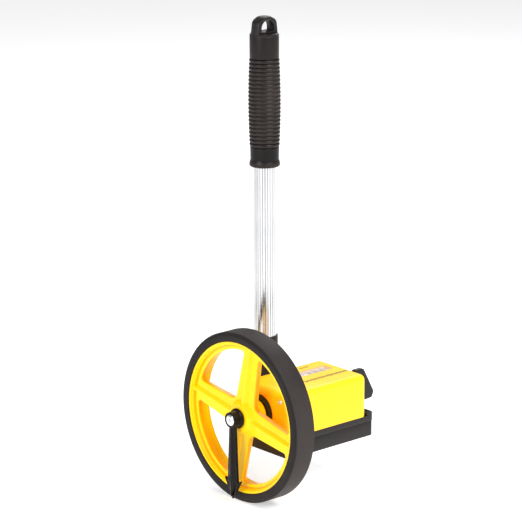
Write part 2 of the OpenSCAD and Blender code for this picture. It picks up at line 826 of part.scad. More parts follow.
module grip_core() {
    color([0.2, 0.2, 0.2]) difference() {
        tube_z(core_r, section_r(4), grip_foot, core_top);
        translate([tube_pos.x, tube_pos.y, grip_foot - 1])
            cylinder(r = section_r(2) + 0.4, h = section_top(3) - grip_foot + 1 + free_gap);
    }
}

module hang_cap() {
    arch_r = 11.3;
    arch_z = grip_end - arch_r;
    hole_r = 7.45;
    hole_z = grip_end - 2.9 - hole_r;
    color([0.1, 0.09, 0.09]) difference() {
        translate([tube_pos.x, tube_pos.y, 0]) {
            translate([0, 0, core_top - 9]) cylinder(r = section_in(4), h = 10);
            translate([0, 0, core_top]) cylinder(r = core_r, h = cap_z - core_top + eps);
            translate([0, 0, cap_z]) cylinder(r = grip_r + 0.2, h = 1.2);
            translate([0, 0, cap_z + 1.2 - eps])
                cylinder(r1 = grip_r + 0.2, r2 = grip_r - 0.8, h = 1);
            translate([-loop_t / 2, 0, 0]) rotate([90, 0, 90]) linear_extrude(loop_t) {
                translate([0, arch_z]) circle(arch_r);
                polygon([[-12.4, cap_z], [12.4, cap_z], [arch_r - 0.05, arch_z + 1],
                         [-arch_r + 0.05, arch_z + 1]]);
            }
        }
        translate([tube_pos.x - 20, tube_pos.y, 0]) rotate([90, 0, 90]) linear_extrude(40) {
            translate([0, hole_z]) circle(hole_r);
            translate([-hole_r + 0.05, hole_z - 3]) square([2 * hole_r - 0.1, 3]);
        }
    }
}

tyre();
wheel_rim();
axle();
hub_screw();
axle_spacer();
drive_gear();
axle_clip();
pointer();
housing_cover();
counter_window();
window_mask();
cover_screws();
bearing_flange();
axle_bush();
chassis();
base_pan();
base_screws();
counter_frame();
frame_screws();
transfer_shaft();
reset_bush();
reset_spring();
tube_socket();
socket_screw();
outer_tube();
tube_plug();
counter_shaft();
counter_gear();
for (i = [1 : drums]) number_drum(i);
for (i = [1 : drums - 1]) carry_pinion(i);
reset_comb();
reset_lever();
lever_screw();
for (k = [1 : 3]) guide_ring(k);
for (k = [2 : 4]) slide_tube(k);
for (k = [2 : 4]) slide_bush(k);
grip_core();
grip_sleeve();
hang_cap();
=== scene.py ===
"""Looks of a telescopic measuring wheel: finished meshes, finishes, light and camera round its
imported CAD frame. Lengths in the shape functions are in millimetres, as in the CAD part."""
import json
import math

import bmesh
import bpy
from mathutils import Matrix, Vector


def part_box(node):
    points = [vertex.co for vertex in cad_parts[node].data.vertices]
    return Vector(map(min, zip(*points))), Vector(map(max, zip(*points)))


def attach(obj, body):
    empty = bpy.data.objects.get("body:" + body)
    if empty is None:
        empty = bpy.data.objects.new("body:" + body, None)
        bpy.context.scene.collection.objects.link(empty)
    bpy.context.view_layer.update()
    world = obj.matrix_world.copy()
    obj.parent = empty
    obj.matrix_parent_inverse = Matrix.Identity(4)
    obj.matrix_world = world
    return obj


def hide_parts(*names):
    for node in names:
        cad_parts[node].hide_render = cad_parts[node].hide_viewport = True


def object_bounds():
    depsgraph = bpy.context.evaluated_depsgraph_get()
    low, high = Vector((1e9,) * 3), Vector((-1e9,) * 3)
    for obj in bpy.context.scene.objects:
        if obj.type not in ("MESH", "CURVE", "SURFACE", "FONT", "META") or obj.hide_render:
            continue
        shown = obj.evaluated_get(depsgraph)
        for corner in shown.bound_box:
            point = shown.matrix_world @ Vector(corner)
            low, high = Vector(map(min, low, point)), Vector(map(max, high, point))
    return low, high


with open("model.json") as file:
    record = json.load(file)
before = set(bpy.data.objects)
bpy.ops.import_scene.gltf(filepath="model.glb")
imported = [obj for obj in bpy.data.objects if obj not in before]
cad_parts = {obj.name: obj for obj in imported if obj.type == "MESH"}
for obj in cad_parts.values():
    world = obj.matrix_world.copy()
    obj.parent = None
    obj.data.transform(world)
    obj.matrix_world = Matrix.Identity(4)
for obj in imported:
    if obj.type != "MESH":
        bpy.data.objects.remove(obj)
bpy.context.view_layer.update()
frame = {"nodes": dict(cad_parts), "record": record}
CAD = frame["nodes"]
MM = 0.001
X, Y, Z = 0, 1, 2


# ---- shader tools ----

class Value:
    """A number that changes over a surface. Python arithmetic on it adds Math nodes."""

    def __init__(self, finish, out):
        self.finish, self.out = finish, out

    def maths(self, operation, *terms):
        node = self.finish.node("ShaderNodeMath", {"operation": operation}, dict(enumerate(terms)))
        return Value(self.finish, node.outputs[0])

    def __add__(self, other):
        return self.maths("ADD", self, other)

    def __sub__(self, other):
        return self.maths("SUBTRACT", self, other)

    def __rsub__(self, other):
        return self.maths("SUBTRACT", other, self)

    def __mul__(self, other):
        return self.maths("MULTIPLY", self, other)

    def __gt__(self, other):
        return self.maths("GREATER_THAN", self, other)

    __radd__, __rmul__ = __add__, __mul__

    def spread(self, low, high, to_low=0.0, to_high=1.0):
        """Stretches the range low..high of this value to to_low..to_high, with soft ends."""
        node = self.finish.node(
            "ShaderNodeMapRange",
            {"interpolation_type": "SMOOTHSTEP"},
            {0: self, 1: low, 2: high, 3: to_low, 4: to_high},
        )
        return Value(self.finish, node.outputs[0])


class Finish:
    """A procedural material on Object coordinates, built on one Principled shader."""

    def __init__(self, name, **constants):
        self.material = bpy.data.materials.new(name)
        self.material.use_nodes = True
        self.shader = self.material.node_tree.nodes["Principled BSDF"]
        for socket, value in constants.items():
            self.shader.inputs[socket.replace("_", " ")].default_value = value
        self.place = self.node("ShaderNodeTexCoord").outputs["Object"]

    def node(self, kind, settings=(), inputs=()):
        node = self.material.node_tree.nodes.new(kind)
        for name, value in dict(settings).items():
            setattr(node, name, value)
        for socket, value in dict(inputs).items():
            self.feed(node.inputs[socket], value)
        return node

    def feed(self, socket, value):
        source = value.out if isinstance(value, Value) else value
        if isinstance(source, bpy.types.NodeSocket):
            self.material.node_tree.links.new(source, socket)
        else:
            socket.default_value = source

    def stretched(self, scale):
        """Object coordinates times scale, so that a pattern can run long in one direction."""
        node = self.node("ShaderNodeMapping", {}, {"Vector": self.place, "Scale": scale})
        return node.outputs[0]

    def noise(self, scale, detail=3.0, stretch=(1, 1, 1), roughness=0.5):
        where = self.stretched(stretch)
        node = self.node(
            "ShaderNodeTexNoise",
            {},
            {"Vector": where, "Scale": scale, "Detail": detail, "Roughness": roughness},
        )
        return Value(self, node.outputs[0])

    def axis(self, index):
        node = self.node("ShaderNodeSeparateXYZ", {}, {0: self.place})
        return Value(self, node.outputs[index])

    def blend(self, share, first, second):
        node = self.node("ShaderNodeMix", {"data_type": "RGBA"}, {0: share, 6: first, 7: second})
        return node.outputs[2]

    def surface(self, base=None, rough=None, height=None, strength=0.1, distance=0.001):
        if base is not None:
            self.feed(self.shader.inputs["Base Color"], base)
        if rough is not None:
            self.feed(self.shader.inputs["Roughness"], rough)
        if height is not None:
            bump = self.node(
                "ShaderNodeBump", {}, {"Height": height, "Strength": strength, "Distance": distance}
            )
            self.feed(self.shader.inputs["Normal"], bump.outputs[0])
        return self.material


def colour(red, green, blue):
    return (red, green, blue, 1.0)


TUBE_AXIS = [(low + high) / 2 for low, high in zip(*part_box("outer_tube"))][:2]


# ---- finishes ----

def gloss_moulding(name, light, deep, rough=0.28, coat=0.15, shine=0.4):
    """Glossy moulded plastic: faint flow clouds in the colour and a slight orange-peel skin."""
    finish = Finish(name, Specular_IOR_Level=shine, Coat_Weight=coat, Coat_Roughness=0.12)
    clouds = finish.noise(35, 3)
    peel = finish.noise(900, 2)
    return finish.surface(
        base=finish.blend(clouds.spread(0.35, 0.7), light, deep),
        rough=clouds.spread(0.3, 0.7, rough - 0.04, rough + 0.06),
        height=peel,
        strength=0.05,
        distance=0.0004,
    )


def textured_moulding(name, light, deep, rough=0.42, grain=1600, strength=0.16):
    """Satin black plastic with a fine spark-eroded grain and slightly paler handled patches."""
    finish = Finish(name, Specular_IOR_Level=0.3)
    patches = finish.noise(28, 4)
    fine = finish.noise(grain, 3, roughness=0.65)
    return finish.surface(
        base=finish.blend(patches.spread(0.35, 0.75), light, deep),
        rough=patches.spread(0.3, 0.7, rough - 0.06, rough + 0.08),
        height=fine,
        strength=strength,
        distance=0.0004,
    )


def tyre_rubber():
    """Matt black-brown rubber, with a random paler tone on the tread and darker on its side walls."""
    finish = Finish("tyre_rubber", Specular_IOR_Level=0.25)
    dust = finish.noise(22, 5)
    skin = finish.noise(1300, 4, roughness=0.7)
    streaks = finish.noise(60, 3, stretch=(1, 12, 1))
    tone = dust * 0.7 + streaks * 0.3
    worn = finish.blend(
        tone.spread(0.35, 0.65), colour(0.026, 0.0205, 0.019), colour(0.040, 0.032, 0.030)
    )
    depth = finish.axis(Y)
    shoulder, wall = 0.0101, 0.0108
    side = (depth * depth).spread(shoulder ** 2, wall ** 2)
    return finish.surface(
        base=finish.blend(side, worn, colour(0.012, 0.0095, 0.009)),
        rough=tone.spread(0.3, 0.7, 0.5, 0.66),
        height=skin,
        strength=0.22,
        distance=0.0004,
    )


def from_axis(finish, x, y):
    """Squared distance, in square metres, from an upright axis through x and y in metres."""
    across, along = finish.axis(X) - x, finish.axis(Y) - y
    return across * across + along * along


def grip_rubber():
    """Soft black grip rubber: fine pebble, and painted shade that turns the grooves between the rib
    crests almost black.
    """
    finish = Finish("grip_rubber", Specular_IOR_Level=0.22)
    wear = finish.noise(40, 4)
    pebble = finish.noise(1500, 3, roughness=0.6)
    groove_r, crest_r = 0.0130, 0.0138
    crest = from_axis(finish, *TUBE_AXIS).spread(groove_r ** 2, crest_r ** 2)
    worn = finish.blend(
        wear.spread(0.35, 0.7), colour(0.018, 0.013, 0.012), colour(0.027, 0.020, 0.018)
    )
    return finish.surface(
        # painted shade: the colour turns almost black in the grooves, by distance from the tube's axis
        base=finish.blend(crest, colour(0.003, 0.0024, 0.0022), worn),
        rough=wear.spread(0.3, 0.7, 0.34, 0.46),
        height=pebble,
        strength=0.15,
        distance=0.0003,
    )


def drawn_aluminium():
    """Drawn tube with fine die lines, painted shade in its flutes and duller inner sections."""
    finish = Finish("drawn_aluminium", Metallic=1.0)
    lines = finish.noise(900, 3, stretch=(1, 1, 0.01))
    clouds = finish.noise(18, 3)
    flute_foot_r, flute_edge_r, wall_r = 0.01015, 0.01042, 0.0100
    out = from_axis(finish, *TUBE_AXIS)
    skin = out.spread(flute_foot_r ** 2, flute_edge_r ** 2)
    metal_tone = finish.blend(
        clouds.spread(0.3, 0.7), colour(0.60, 0.61, 0.63), colour(0.70, 0.70, 0.71)
    )
    fluted = out > wall_r ** 2
    # painted shade: the flute grooves of the outer tube turn almost black
    painted_flute_shade = fluted * (1 - skin)
    inner_sections = colour(0.40, 0.40, 0.42)
    tube_tone = finish.blend(fluted, inner_sections, metal_tone)
    return finish.surface(
        base=finish.blend(painted_flute_shade, tube_tone, colour(0.04, 0.035, 0.035)),
        rough=lines.spread(0.3, 0.7, 0.16, 0.3),
        height=lines,
        strength=0.06,
        distance=0.0003,
    )


def machined_steel(name, light, deep, rough):
    """Bright steel with short tooling lines across Y and small spots of wear."""
    finish = Finish(name, Metallic=1.0)
    lines = finish.noise(700, 3, stretch=(1, 8, 1))
    spots = finish.noise(120, 3)
    return finish.surface(
        base=finish.blend(spots.spread(0.35, 0.7), light, deep),
        rough=lines.spread(0.3, 0.7, rough - 0.06, rough + 0.08),
        height=lines,
        strength=0.05,
        distance=0.0002,
    )


def clear_pane():
    """Slightly milky clear window with faint scuffs. It is thin, so light passes straight on."""
    finish = Finish("clear_pane", Alpha=0.35, Base_Color=colour(0.97, 0.93, 0.94))
    scuffs = finish.noise(160, 4, stretch=(1, 0.2, 1))
    return finish.surface(rough=scuffs.spread(0.55, 0.75, 0.03, 0.16))


YELLOW = colour(1.0, 0.76, 0.003)
YELLOW_DEEP = colour(1.0, 0.71, 0.002)
LEMON = colour(1.0, 0.76, 0.018)
LEMON_DEEP = colour(1.0, 0.72, 0.014)
# Painted shade: amber for the recesses of the yellow parts.
PAINTED_SHADE_AMBER = colour(1.0, 0.43, 0.001)
# Painted glow: warm orange emission that stands for light passed on through thin yellow walls.
PAINTED_WARM_GLOW = colour(1.0, 0.22, 0.0)


def yellow_moulding(name, light, deep, unshaded_share, rough, painted_glow):
    """Glossy yellow plastic with painted shade, amber in its recesses: the share given by the third
    argument is 0 in them and 1 outside.

    The emission strength argument is a painted glow: an even warm emission on the whole part, standing
    for the warm light that a thin translucent wall passes on in its shaded places.
    """
    # painted glow: the whole part emits warm orange at the given strength
    finish = Finish(name, Specular_IOR_Level=0.25, Coat_Weight=0.03, Coat_Roughness=0.12,
                    Emission_Color=PAINTED_WARM_GLOW, Emission_Strength=painted_glow)
    clouds = finish.noise(35, 3)
    face = finish.blend(clouds.spread(0.35, 0.7), light, deep)
    return finish.surface(
        # painted shade: amber where the share falls to 0, in the recesses
        base=finish.blend(unshaded_share(finish), PAINTED_SHADE_AMBER, face),
        rough=clouds.spread(0.3, 0.7, rough - 0.04, rough + 0.06),
        height=finish.noise(900, 2),
        strength=0.05,
        distance=0.0004,
    )


def rim_open_share(finish):
    """Painted shade for the rim: falls inside the depth of the spokes, and on the barrel from its front
    lip to the spokes.
    """
    spoke_middle, core_half, face_half = -0.003, 0.0008, 0.0027
    lip_y, groove_y, back_y = -0.0098, -0.0045, 0.007
    barrel_r = 0.0655
    across, depth, up = finish.axis(X), finish.axis(Y), finish.axis(Z)
    from_middle = depth - spoke_middle
    spokes = (from_middle * from_middle).spread(core_half ** 2, face_half ** 2)
    lip = depth.spread(lip_y, groove_y, 1, 0)
    back = depth.spread(0.0, back_y)
    barrel = (across * across + up * up) > barrel_r ** 2
    return spokes * (1 - barrel) + (lip + back) * barrel


def cover_open_share(finish):
    """Painted shade from the wheel: falls towards the cover's end wall, which stands close behind the
    wheel.
    """
    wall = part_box("housing_cover")[0].y
    return finish.axis(Y).spread(wall - 0.002, wall + 0.007)


FINISHES = {
    "tyre_rubber": tyre_rubber(),
    # Both yellow finishes carry painted shade in their recesses and a painted warm glow.
    "yellow_plastic": yellow_moulding(
        "yellow_plastic", YELLOW, YELLOW_DEEP, rim_open_share, rough=0.28, painted_glow=0.22),
    "cover_plastic": yellow_moulding(
        "cover_plastic", LEMON, LEMON_DEEP, cover_open_share, rough=0.36, painted_glow=0.22),
    "black_plastic": textured_moulding(
        "black_plastic", colour(0.011, 0.009, 0.0085), colour(0.018, 0.0145, 0.0135)
    ),
    "pointer_plastic": gloss_moulding(
        "pointer_plastic", colour(0.005, 0.004, 0.004), colour(0.008, 0.0065, 0.006),
        rough=0.26, coat=0.0, shine=0.15,
    ),
    "grip_rubber": grip_rubber(),
    "bright_aluminium": drawn_aluminium(),
    "steel": machined_steel("steel", colour(0.55, 0.55, 0.56), colour(0.68, 0.68, 0.69), 0.3),
    "plated_screw": machined_steel(
        "plated_screw", colour(0.82, 0.82, 0.82), colour(0.9, 0.9, 0.9), 0.2
    ),
    "window_clear": clear_pane(),
    "white_plastic": gloss_moulding(
        "white_plastic", colour(0.86, 0.78, 0.79), colour(0.9, 0.84, 0.84), rough=0.35
    ),
    "red_plastic": gloss_moulding(
        "red_plastic", colour(0.6, 0.03, 0.03), colour(0.66, 0.05, 0.04), rough=0.35
    ),
    "acetal": gloss_moulding("acetal", colour(0.8, 0.77, 0.68), colour(0.86, 0.83, 0.75), 0.4),
    "bronze_bush": machined_steel(
        "bronze_bush", colour(0.5, 0.32, 0.14), colour(0.6, 0.4, 0.2), 0.4
    ),
}
INK = textured_moulding("printed_ink", colour(0.02, 0.018, 0.015), colour(0.05, 0.04, 0.03), 0.5)
PALE_INK = textured_moulding("pale_ink", colour(0.8, 0.8, 0.78), colour(0.86, 0.86, 0.84), 0.5)
GREY_INK = textured_moulding("grey_ink", colour(0.16, 0.13, 0.13), colour(0.22, 0.18, 0.18), 0.5)
SLOT_OF = {part["node"]: part["material_slot"] for part in frame["record"]["subparts"]}
BODY_OF = {
    node: body for body, group in frame["record"]["behaviour"]["bodies"].items() for node in group
}


# ---- mesh tools ----

def rounded(*corners, segments=4):
    """Closed outline through corners of (x, y, radius), each corner turned into an arc."""
    points = []
    for i, (x, y, radius) in enumerate(corners):
        corner = Vector((x, y))
        if radius == 0:
            points.append(corner)
            continue
        back = (Vector(corners[i - 1][:2]) - corner).normalized()
        ahead = (Vector(corners[(i + 1) % len(corners)][:2]) - corner).normalized()
        half = back.angle(ahead) / 2
        centre = corner + (back + ahead).normalized() * radius / math.sin(half)
        start = corner + back * radius / math.tan(half) - centre
        end = corner + ahead * radius / math.tan(half) - centre
        turn = math.atan2(start.x * end.y - start.y * end.x, start.dot(end))
        for step in range(segments + 1):
            points.append(centre + Matrix.Rotation(turn * step / segments, 2) @ start)
    return points


def lifted(point, height, axis):
    """A 2-D outline point at a height along an axis, in metres."""
    flat = list(point)
    flat.insert(axis, height)
    return Vector(flat) * MM


def plate(outline, low, high, axis=Y):
    """A 2-D outline pushed out from low to high along an axis. Across Y it lies in X and Z."""
    bm = bmesh.new()
    face = bm.faces.new([bm.verts.new(lifted(point, low, axis)) for point in outline])
    pushed = bmesh.ops.extrude_face_region(bm, geom=[face])["geom"]
    top = [part for part in pushed if isinstance(part, bmesh.types.BMVert)]
    bmesh.ops.translate(bm, verts=top, vec=lifted((0, 0), high - low, axis))
    bmesh.ops.recalc_face_normals(bm, faces=bm.faces)
    return bm


def turned(outline, steps=96, axis=Y, at=(0, 0, 0)):
    """Spins an outline of (radius, place along the axis) round an axis through at."""
    bm = bmesh.new()
    middle = Vector(at) * MM
    side = Vector((1, 0, 0)) if axis != X else Vector((0, 1, 0))
    along = Vector([float(i == axis) for i in range(3)])
    verts = [bm.verts.new(middle + (side * r + along * h) * MM) for r, h in outline]
    ring = list(zip(verts, verts[1:] + verts[:1]))
    if outline[0][0] == 0 and outline[-1][0] == 0:
        ring.pop()
    edges = [bm.edges.new(pair) for pair in ring]
    bmesh.ops.spin(
        bm, geom=verts + edges, cent=middle, axis=along, dvec=(0, 0, 0),
        angle=math.tau, steps=steps, use_merge=True, use_duplicate=False,
    )
    bmesh.ops.remove_doubles(bm, verts=bm.verts, dist=1e-6)
    bmesh.ops.recalc_face_normals(bm, faces=bm.faces)
    return bm


def loose_object(bm, name="tool"):
    mesh = bpy.data.meshes.new(name)
    bm.to_mesh(mesh)
    bm.free()
    obj = bpy.data.objects.new(name, mesh)
    bpy.context.scene.collection.objects.link(obj)
    return obj


def settle(obj):
    """Applies an object's modifiers to its mesh."""
    shape = obj.evaluated_get(bpy.context.evaluated_depsgraph_get())
    mesh = bpy.data.meshes.new_from_object(shape)
    obj.modifiers.clear()
    obj.data = mesh
    return obj


def combine(first, others, operation):
    """Joins or cuts closed meshes and closes any sliver left at a seam. others are used up."""
    base = loose_object(first)
    tools = [loose_object(bm) for bm in others]
    for tool in tools:
        step = base.modifiers.new(operation, "BOOLEAN")
        step.operation, step.object, step.solver = operation, tool, "EXACT"
    settle(base)
    for tool in tools:
        bpy.data.objects.remove(tool)
    bm = bmesh.new()
    bm.from_mesh(base.data)
    bpy.data.objects.remove(base)
    bmesh.ops.remove_doubles(bm, verts=bm.verts, dist=1e-6)
    bmesh.ops.holes_fill(bm, edges=[edge for edge in bm.edges if edge.is_boundary], sides=4)
    return bm


def round_edges(bm, edges, width, segments, clamp=True):
    """Rounds edges by width. clamp keeps the rounding clear of its neighbours."""
    bmesh.ops.bevel(
        bm, geom=edges, offset=width * MM, offset_type="OFFSET", segments=segments,
        profile=0.5, affect="EDGES", clamp_overlap=clamp, material=-1,
    )


def sharp_edges(bm, angle):
    """Edges whose faces meet at more than angle, in degrees."""
    limit = math.radians(angle)
    return [edge for edge in bm.edges if edge.calc_face_angle(0.0) > limit]


def eased(bm, width, segments=3, angle=30):
    """Rounds every edge sharper than angle by width."""
    round_edges(bm, sharp_edges(bm, angle), width, segments)
    bmesh.ops.remove_doubles(bm, verts=bm.verts, dist=1e-6)
    return bm


def level_edges(edges, height):
    """Those of the edges that lie level at a height."""
    return [
        edge for edge in edges if all(abs(vert.co.z / MM - height) < 0.02 for vert in edge.verts)
    ]


def from_cad(node):
    """A merged copy of a CAD node's mesh with its flat faces whole again."""
    bm = bmesh.new()
    bm.from_mesh(CAD[node].data)
    bmesh.ops.remove_doubles(bm, verts=bm.verts, dist=2e-6)
    bmesh.ops.dissolve_limit(
        bm, angle_limit=math.radians(0.5), verts=bm.verts, edges=bm.edges, delimit=set()
    )
    return bm


def piece(name, bm, like, finish=None, replaces=True, smooth=34):
    """Makes a finished piece that rides with the CAD node it is like."""
    for face in bm.faces:
        face.smooth = True
    for edge in bm.edges:
        edge.smooth = edge.calc_face_angle(0.0) < math.radians(smooth)
    obj = loose_object(bm, name)
    obj.data.materials.clear()
    obj.data.materials.append(finish or FINISHES[SLOT_OF[like]])
    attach(obj, BODY_OF[like])
    if replaces:
        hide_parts(like)
    return obj


def centre_of(node):
    low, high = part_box(node)
    return (low + high) / 2 / MM


def size_of(node):
    low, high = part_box(node)
    return (high - low) / MM


def ends(node, axis):
    """Lowest and highest place of a CAD node along an axis, in millimetres."""
    low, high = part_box(node)
    return low[axis] / MM, high[axis] / MM


def arc(centre, radius, start, end, steps):
    """Points along an arc, with angles in degrees."""
    angles = [math.radians(start + (end - start) * i / steps) for i in range(steps + 1)]
    return [
        Vector((centre[0] + radius * math.cos(a), centre[1] + radius * math.sin(a))) for a in angles
    ]


def swung(bm, degrees, axis="Y", at=(0, 0, 0)):
    """Turns a mesh about an axis through at."""
    turn = Matrix.Rotation(math.radians(degrees), 3, axis)
    bmesh.ops.rotate(bm, verts=bm.verts, cent=Vector(at) * MM, matrix=turn)
    return bm


def block(low, high):
    """Box from its low to its high corner."""
    return plate([Vector(p) for p in ((low[0], low[1]), (high[0], low[1]), (high[0], high[1]),
                                      (low[0], high[1]))], low[2], high[2], Z)


def drill(radius, low, high, at, axis=Y):
    """Round cutter from low to high along an axis through at."""
    return turned([(0, low), (radius, low), (radius, high), (0, high)], 32, axis, at)


def merged(target, source):
    """Adds source's mesh to target and frees source."""
    mesh = bpy.data.meshes.new("part")
    source.to_mesh(mesh)
    source.free()
    target.from_mesh(mesh)
    bpy.data.meshes.remove(mesh)


# ---- wheel ----

TREAD_R = size_of("tyre").x / 2
RIM_R = size_of("wheel_rim").x / 2
HALF_RIM = 10.65
BARREL_R = RIM_R - 3.2
SPOKE_FRONT, SPOKE_BACK = -6.0, 0.0
SPOKE_TURN = 11.0
SPOKE_WIDTH, SPOKE_ROOT_WIDTH = 18.5, 24.0
HUB_R = 16.0


def tyre():
    """Solid rubber tyre: flat tread, stepped shoulders and a bead that grips the rim."""
    side = HALF_RIM + 0.9
    half = [
        (RIM_R, -HALF_RIM + 0.3, 0), (RIM_R + 0.3, -side + 0.1, 0.4),
        (TREAD_R - 2.7, -side + 0.12, 0.5), (TREAD_R - 2.4, -side + 0.6, 0.2),
        (TREAD_R - 1.5, -side + 0.7, 0.3), (TREAD_R - 0.02, -HALF_RIM + 0.4, 0.7),
    ]
    mirrored = [(r, -y, radius) for r, y, radius in reversed(half)]
    piece("rubber_tyre", turned(rounded(*half, *mirrored), 200), "tyre", smooth=50)


def spoke_window():
    """Opening between two spokes that widen a little towards the hub."""
    widening = (SPOKE_ROOT_WIDTH - SPOKE_WIDTH) / 2
    taper = math.degrees(math.atan(widening / (BARREL_R - HUB_R)))
    centre_half = SPOKE_WIDTH / 2 + BARREL_R * math.tan(math.radians(taper))
    edge = centre_half * math.cos(math.radians(taper))
    outer, web, corner = 63.0, 8.0, 3.0
    reach = math.sqrt((outer - corner) ** 2 - (edge + corner) ** 2)
    lean = math.degrees(math.atan2(edge + corner, reach))
    turn = Matrix.Rotation(math.radians(taper), 2)
    root = edge / (math.cos(math.radians(taper)) + math.sin(math.radians(taper)))
    inner = root + web / math.sin(math.radians(45 + taper)) / math.sqrt(2)
    low_corner = arc((reach, edge + corner), corner, -90, lean, 5)
    high_corner = arc((edge + corner, reach), corner, 90 - lean, 180, 5)
    return (
        [turn.inverted() @ point for point in low_corner]
        + arc((0, 0), outer, lean - taper + 2, 88 - lean + taper, 18)
        + [turn @ point for point in high_corner]
        + arc((inner, inner), web, 180 + taper, 270 - taper, 8)
    )


def spoke_rib(angle):
    """Tall rib down the middle of a spoke, from the hub to the barrel."""
    root_half, foot_half, crest_half = 3.6, 3.4, 1.1
    sunk, foot, crest = SPOKE_FRONT + 0.8, SPOKE_FRONT - 0.1, SPOKE_FRONT - 3.1
    section = rounded(
        (-root_half, sunk, 0), (-foot_half, foot, 0.5), (-crest_half, crest, 0.5),
        (crest_half, crest, 0.5), (foot_half, foot, 0.5), (root_half, sunk, 0), segments=3,
    )
    return swung(plate(section, HUB_R - 4, BARREL_R + 0.5, Z), angle)


def wheel_rim():
    """Yellow rim: stepped barrel, four ribbed spokes and a hub, moulded in one."""
    lip_foot, draft = -HALF_RIM + 1.9, 0.6
    barrel = turned(rounded(
        (RIM_R, HALF_RIM, 0.3), (RIM_R, -HALF_RIM, 0.3), (BARREL_R + 1.1, -HALF_RIM, 0.5),
        (BARREL_R + 0.9, lip_foot, 0.2), (BARREL_R, lip_foot + 0.2, 0.3),
        (BARREL_R - draft, SPOKE_FRONT, 0), (BARREL_R - draft, HALF_RIM, 0.5), segments=3,
    ), 200)
    web = plate(arc((0, 0), BARREL_R + 0.4, 0, 358, 179), SPOKE_FRONT, SPOKE_BACK)
    windows = [swung(plate(spoke_window(), -20, 20), 90 * i) for i in range(4)]
    web = swung(eased(combine(web, windows, "DIFFERENCE"), 0.7, 2, 40), SPOKE_TURN)
    hub_end, flange_r = 11.4, HUB_R + 3
    hub = turned(rounded(
        (0, hub_end, 0), (HUB_R - 3, hub_end, 0.8), (HUB_R + 1, 1, 1.5), (flange_r, -1, 0),
        (flange_r, SPOKE_FRONT + 0.2, 0), (HUB_R + 0.2, SPOKE_FRONT - 0.1, 1.2),
        (HUB_R - 1, SPOKE_FRONT - 1.8, 0.8), (HUB_R - 3.2, -hub_end, 1.2), (0, -hub_end, 0),
    ), 96)
    ribs = [spoke_rib(SPOKE_TURN + 90 * i) for i in range(4)]
    rim = combine(barrel, [web, hub, *ribs], "UNION")
    axle_r, beyond = size_of("axle").x / 2, 30
    bore = turned([(0, -beyond), (axle_r, -beyond), (axle_r, beyond), (0, beyond)], 48)
    piece("spoked_rim", combine(rim, [bore], "DIFFERENCE"), "wheel_rim", smooth=30)


def pointer():
    """Black arrow that hangs from the axle: boss, ridged arm and barbed head."""
    low = ends("pointer", Z)[0]
    front, back = ends("pointer", Y)
    plate_front, arm_depth, root = front + 2.6, 2.6, -4
    neck, barb = -59.5, -56.0
    root_half, neck_half, barb_half = 4.0, 6.7, 12
    outline = rounded(
        (root_half, root, 0), (neck_half, neck, 0.6), (barb_half, barb, 0.5), (0, low, 0.4),
        (-barb_half, barb, 0.5), (-neck_half, neck, 0.6), (-root_half, root, 0), segments=2,
    )
    arm = eased(plate(outline, plate_front, plate_front + arm_depth), 0.35, 2, 50)
    slim, wide, crest_root = root_half - 0.7, neck_half - 0.8, root - 1
    crest = plate(
        [Vector(point) for point in (
            (slim, crest_root), (wide, neck), (0, low + 3), (-wide, neck), (-slim, crest_root))],
        plate_front + 0.4, plate_front - 0.6)
    ridge_share, ridge_rise = 0.12, 1.2
    for vert in crest.verts:
        if vert.co.y < plate_front * MM:
            vert.co.x *= ridge_share
            vert.co.y -= ridge_rise * MM
    collar_r, mouth_r, mouth_floor = 9.4, 5.7, front + 1.5
    boss = turned(rounded(
        (0, back, 0), (collar_r, back, 0.4), (collar_r, back - 1.4, 0.5), (7.9, back - 2.4, 0.6),
        (7.3, front, 0.6), (mouth_r, front, 0.25), (mouth_r, mouth_floor, 0.2), (0, mouth_floor, 0),
    ), 72)
    shaft = size_of("axle").x / 2 + 0.06
    beyond = -30
    bore = turned([(0, beyond), (shaft, beyond), (shaft, 0), (0, 0)], 48)
    arrow = combine(arm, [crest, boss], "UNION")
    piece("arrow_pointer", combine(arrow, [bore], "DIFFERENCE"), "pointer", smooth=25)


def hub_screw():
    """Domed cross-head screw that keeps the pointer on the axle."""
    front, back = ends("hub_screw", Y)
    seat = front + 1.9
    shank_r, head_r, rise = 1.5, 5.3, 1.3
    dome = [
        (head_r * math.cos(math.radians(a)), seat - 0.6 - rise * math.sin(math.radians(a)))
        for a in range(0, 91, 9)
    ]
    shape = turned(
        [(0, back), (shank_r, back), (shank_r, seat), (head_r - 0.2, seat), *dome[:-1], (0, front)], 48
    )
    long, thin, turn = 2.4, 0.42, 20
    cross = rounded((long, thin, 0.3), (-long, thin, 0.3), (-long, -thin, 0.3), (long, -thin, 0.3))
    slots = [swung(plate(cross, front - 1, front + 0.9), turn + 90 * i) for i in range(2)]
    piece("domed_hub_screw", eased(combine(shape, slots, "DIFFERENCE"), 0.12, 2, 40), "hub_screw")


# ---- housing ----

COVER_LOW, COVER_HIGH = [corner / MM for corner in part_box("housing_cover")]
WALL = 2.2
CORNER_R, ROLLED_R = 6.2, 5.6
LEVER_AXIS = (13, 0, 3)
TOP = COVER_HIGH.z
WINDOW_X = (-8.5, 2.5)
WINDOW_Y = (ends("counter_window", Y)[0] + 1.1, ends("counter_window", Y)[1] - 1.1)


def plan(low, high, radius):
    """Rectangle with round corners, from its low to its high corner."""
    return rounded((high[0], high[1], radius), (low[0], high[1], radius), (low[0], low[1], radius),
                   (high[0], low[1], radius), segments=8)


def domed_box(inset, foot, top, corner, edge):
    """Box with round upright corners and a rolled top edge."""
    low = (COVER_LOW.x + inset, COVER_LOW.y + inset)
    high = (COVER_HIGH.x - inset, COVER_HIGH.y - inset)
    bm = plate(plan(low, high, corner), foot, top, Z)
    round_edges(bm, level_edges(bm.edges, top), edge, 8)
    return bm


